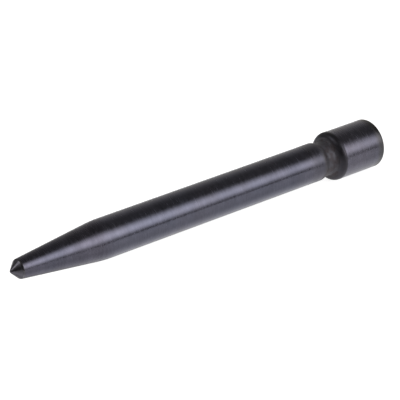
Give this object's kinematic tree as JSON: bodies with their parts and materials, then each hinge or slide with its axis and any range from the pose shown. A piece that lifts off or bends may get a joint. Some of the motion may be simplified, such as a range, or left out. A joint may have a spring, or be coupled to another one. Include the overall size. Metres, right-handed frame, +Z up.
{
  "type": "centre punch",
  "caption": "Round black steel centre punch: ground conical point, long taper, parallel shank and a larger round head to strike.",
  "frame": {"origin": "on the bench, below the middle of the punch's length; z = 0 is the lowest line of the head", "axes": "+X along the punch's axis from the point to the striking face, +Z up from the bench that it lies on"},
  "size_m": [0.113, 0.0126, 0.0127],
  "materials": {
    "blacked_steel": "black oxide over ground steel, satin with fine lines round the shank"
  },
  "bodies": {
    "root": {"punch": "blacked_steel"}
  },
  "joints": []
}
